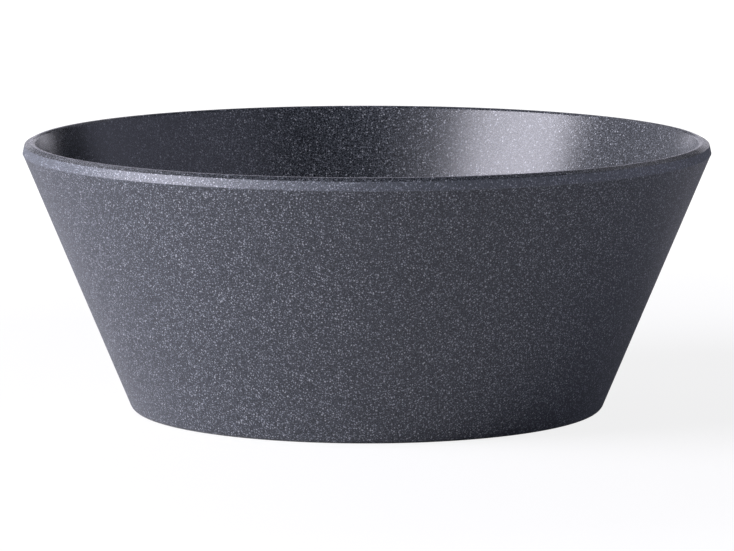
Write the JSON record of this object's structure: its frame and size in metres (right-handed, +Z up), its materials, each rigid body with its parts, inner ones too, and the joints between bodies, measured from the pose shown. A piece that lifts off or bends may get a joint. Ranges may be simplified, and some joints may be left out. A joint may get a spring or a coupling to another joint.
{
  "type": "serving bowl",
  "caption": "Round serving bowl with a straight, outward-leaning wall, a narrow band round the rim and a flat foot ring, moulded in one piece.",
  "frame": {"origin": "on the bowl's axis, in the plane of the foot ring that it stands on", "axes": "+Z up along the bowl's axis, from the foot to the rim; X and Y are equal, because the bowl is round"},
  "size_m": [0.2, 0.2, 0.0785],
  "materials": {
    "speckled_melamine": "matte outside, glossy inside, with fine pale flecks"
  },
  "bodies": {
    "root": {"bowl": "speckled_melamine"}
  },
  "joints": []
}
